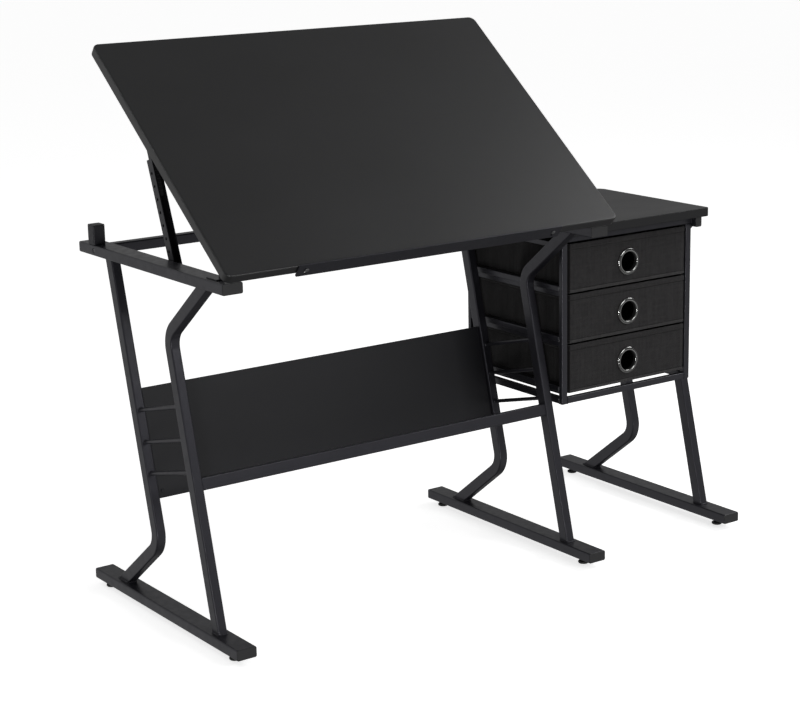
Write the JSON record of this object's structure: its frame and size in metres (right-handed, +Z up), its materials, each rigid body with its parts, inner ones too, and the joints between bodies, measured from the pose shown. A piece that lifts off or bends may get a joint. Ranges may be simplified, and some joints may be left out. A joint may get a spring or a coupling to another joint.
{
  "type": "drafting table",
  "caption": "Drafting table with a tilting work board on ratchet lift arms, a fixed side board and a rack of pull-out fabric drawers.",
  "frame": {"origin": "centre of the footprint of the overall box, on the floor", "axes": "+Z up, +X along the length towards the drawer side, +Y from the user's side to the rear"},
  "size_m": [1.2778, 0.5974, 1.1045],
  "materials": {
    "arm_bar_left": "black oxide steel",
    "arm_bar_middle": "black oxide steel",
    "arm_bracket_left": "black oxide steel",
    "arm_bracket_middle": "black oxide steel",
    "arm_channel_left": "satin black powder coat",
    "arm_channel_middle": "satin black powder coat",
    "back_panel": "matte charcoal laminate with a moulded edge",
    "drawer_1": "woven black non-shiny fabric over stiff board",
    "drawer_2": "woven black non-shiny fabric over stiff board",
    "drawer_3": "woven black non-shiny fabric over stiff board",
    "foot_rail_left": "satin black powder coat",
    "foot_rail_middle": "satin black powder coat",
    "foot_rail_right": "satin black powder coat",
    "front_leg_left": "satin black powder coat",
    "front_leg_middle": "satin black powder coat",
    "front_leg_right": "satin black powder coat",
    "front_lower_bar": "satin black powder coat",
    "glide_left_front": "matte black moulded plastic",
    "glide_left_rear": "matte black moulded plastic",
    "glide_middle_front": "matte black moulded plastic",
    "glide_middle_rear": "matte black moulded plastic",
    "glide_right_front": "matte black moulded plastic",
    "glide_right_rear": "matte black moulded plastic",
    "grommet_1": "polished chrome",
    "grommet_2": "polished chrome",
    "grommet_3": "polished chrome",
    "hinge_bracket_left": "black oxide steel",
    "hinge_bracket_middle": "black oxide steel",
    "hinge_leaf_left": "black oxide steel",
    "hinge_leaf_middle": "black oxide steel",
    "ledge_screw_left": "black oxide steel",
    "ledge_screw_right": "black oxide steel",
    "pencil_ledge": "satin black powder coat",
    "rack_bar_front": "satin black powder coat",
    "rack_bar_rear": "satin black powder coat",
    "rack_beam_front": "satin black powder coat",
    "rack_beam_rear": "satin black powder coat",
    "rack_side_left": "satin black powder coat",
    "rack_side_right": "satin black powder coat",
    "rear_cross_rail": "satin black powder coat",
    "rear_leg_left": "satin black powder coat",
    "rear_leg_middle": "satin black powder coat",
    "rear_leg_right": "satin black powder coat",
    "rear_post_left": "matte black moulded plastic",
    "rear_post_middle": "matte black moulded plastic",
    "rung_left_1": "satin black powder coat",
    "rung_left_2": "satin black powder coat",
    "rung_left_3": "satin black powder coat",
    "rung_middle_1": "satin black powder coat",
    "rung_middle_2": "satin black powder coat",
    "rung_middle_3": "satin black powder coat",
    "rung_right_1": "satin black powder coat",
    "rung_right_2": "satin black powder coat",
    "rung_right_3": "satin black powder coat",
    "side_board": "matte charcoal laminate with a moulded edge",
    "tilting_board": "matte charcoal laminate with a moulded edge",
    "top_rail_left": "satin black powder coat",
    "top_rail_middle": "satin black powder coat",
    "top_rail_right": "satin black powder coat"
  },
  "bodies": {
    "frame": {"back_panel": "back_panel", "foot_rail_left": "foot_rail_left", "foot_rail_middle": "foot_rail_middle", "foot_rail_right": "foot_rail_right", "front_leg_left": "front_leg_left", "front_leg_middle": "front_leg_middle", "front_leg_right": "front_leg_right", "front_lower_bar": "front_lower_bar", "hinge_bracket_left": "hinge_bracket_left", "hinge_bracket_middle": "hinge_bracket_middle", "rack_bar_front": "rack_bar_front", "rack_bar_rear": "rack_bar_rear", "rack_beam_front": "rack_beam_front", "rack_beam_rear": "rack_beam_rear", "rack_side_left": "rack_side_left", "rack_side_right": "rack_side_right", "rear_cross_rail": "rear_cross_rail", "rear_leg_left": "rear_leg_left", "rear_leg_middle": "rear_leg_middle", "rear_leg_right": "rear_leg_right", "rear_post_left": "rear_post_left", "rear_post_middle": "rear_post_middle", "rung_left_1": "rung_left_1", "rung_left_2": "rung_left_2", "rung_left_3": "rung_left_3", "rung_middle_1": "rung_middle_1", "rung_middle_2": "rung_middle_2", "rung_middle_3": "rung_middle_3", "rung_right_1": "rung_right_1", "rung_right_2": "rung_right_2", "rung_right_3": "rung_right_3", "side_board": "side_board", "top_rail_left": "top_rail_left", "top_rail_middle": "top_rail_middle", "top_rail_right": "top_rail_right"},
    "left_strut": {"arm_bar_left": "arm_bar_left"},
    "middle_strut": {"arm_bar_middle": "arm_bar_middle"},
    "board": {"arm_bracket_left": "arm_bracket_left", "arm_bracket_middle": "arm_bracket_middle", "hinge_leaf_left": "hinge_leaf_left", "hinge_leaf_middle": "hinge_leaf_middle", "ledge_screw_left": "ledge_screw_left", "ledge_screw_right": "ledge_screw_right", "tilting_board": "tilting_board"},
    "left_channel": {"arm_channel_left": "arm_channel_left"},
    "middle_channel": {"arm_channel_middle": "arm_channel_middle"},
    "top_drawer": {"drawer_1": "drawer_1", "grommet_1": "grommet_1"},
    "centre_drawer": {"drawer_2": "drawer_2", "grommet_2": "grommet_2"},
    "bottom_drawer": {"drawer_3": "drawer_3", "grommet_3": "grommet_3"},
    "glide_left_front_foot": {"glide_left_front": "glide_left_front"},
    "glide_left_rear_foot": {"glide_left_rear": "glide_left_rear"},
    "glide_middle_front_foot": {"glide_middle_front": "glide_middle_front"},
    "glide_middle_rear_foot": {"glide_middle_rear": "glide_middle_rear"},
    "glide_right_front_foot": {"glide_right_front": "glide_right_front"},
    "glide_right_rear_foot": {"glide_right_rear": "glide_right_rear"},
    "ledge": {"pencil_ledge": "pencil_ledge"}
  },
  "joints": [
    {"name": "board_tilt", "type": "hinge", "parent": "frame", "child": "board", "pos_m": [0, -0.2287, 0.748], "axis": [1, 0, 0], "range_deg": [-38.5, 0]},
    {"name": "ledge_lift", "type": "slide", "parent": "board", "child": "ledge", "axis": [0, -0.6225, 0.7826], "range_m": [0, 0.008]},
    {"name": "left_arm_swing", "type": "hinge", "parent": "frame", "child": "left_channel", "pos_m": [0, -0.0223, 0.708], "axis": [1, 0, 0], "range_deg": [-59.3, 0]},
    {"name": "left_arm_extend", "type": "slide", "parent": "left_channel", "child": "left_strut", "axis": [0, 0.3471, 0.9378], "range_m": [-0.10954, 0]},
    {"name": "middle_arm_swing", "type": "hinge", "parent": "frame", "child": "middle_channel", "pos_m": [0, -0.0223, 0.708], "axis": [1, 0, 0], "range_deg": [-59.3, 0]},
    {"name": "middle_arm_extend", "type": "slide", "parent": "middle_channel", "child": "middle_strut", "axis": [0, 0.3471, 0.9378], "range_m": [-0.10954, 0]},
    {"name": "top_drawer_slide", "type": "slide", "parent": "frame", "child": "top_drawer", "axis": [0, -1, 0], "range_m": [0, 0.23]},
    {"name": "centre_drawer_slide", "type": "slide", "parent": "frame", "child": "centre_drawer", "axis": [0, -1, 0], "range_m": [0, 0.23]},
    {"name": "bottom_drawer_slide", "type": "slide", "parent": "frame", "child": "bottom_drawer", "axis": [0, -1, 0], "range_m": [0, 0.23]},
    {"name": "glide_left_front_screw", "type": "slide", "parent": "frame", "child": "glide_left_front_foot", "axis": [0, 0, 1], "range_m": [0, 0.006]},
    {"name": "glide_left_rear_screw", "type": "slide", "parent": "frame", "child": "glide_left_rear_foot", "axis": [0, 0, 1], "range_m": [0, 0.006]},
    {"name": "glide_middle_front_screw", "type": "slide", "parent": "frame", "child": "glide_middle_front_foot", "axis": [0, 0, 1], "range_m": [0, 0.006]},
    {"name": "glide_middle_rear_screw", "type": "slide", "parent": "frame", "child": "glide_middle_rear_foot", "axis": [0, 0, 1], "range_m": [0, 0.006]},
    {"name": "glide_right_front_screw", "type": "slide", "parent": "frame", "child": "glide_right_front_foot", "axis": [0, 0, 1], "range_m": [0, 0.006]},
    {"name": "glide_right_rear_screw", "type": "slide", "parent": "frame", "child": "glide_right_rear_foot", "axis": [0, 0, 1], "range_m": [0, 0.006]}
  ],
  "couplings": [
    {"joint": "left_arm_swing", "follows": "board_tilt", "ratio": 1.5402},
    {"joint": "left_arm_extend", "follows": "board_tilt", "m_per_rad": 0.16302},
    {"joint": "middle_arm_swing", "follows": "board_tilt", "ratio": 1.5402},
    {"joint": "middle_arm_extend", "follows": "board_tilt", "m_per_rad": 0.16302}
  ]
}
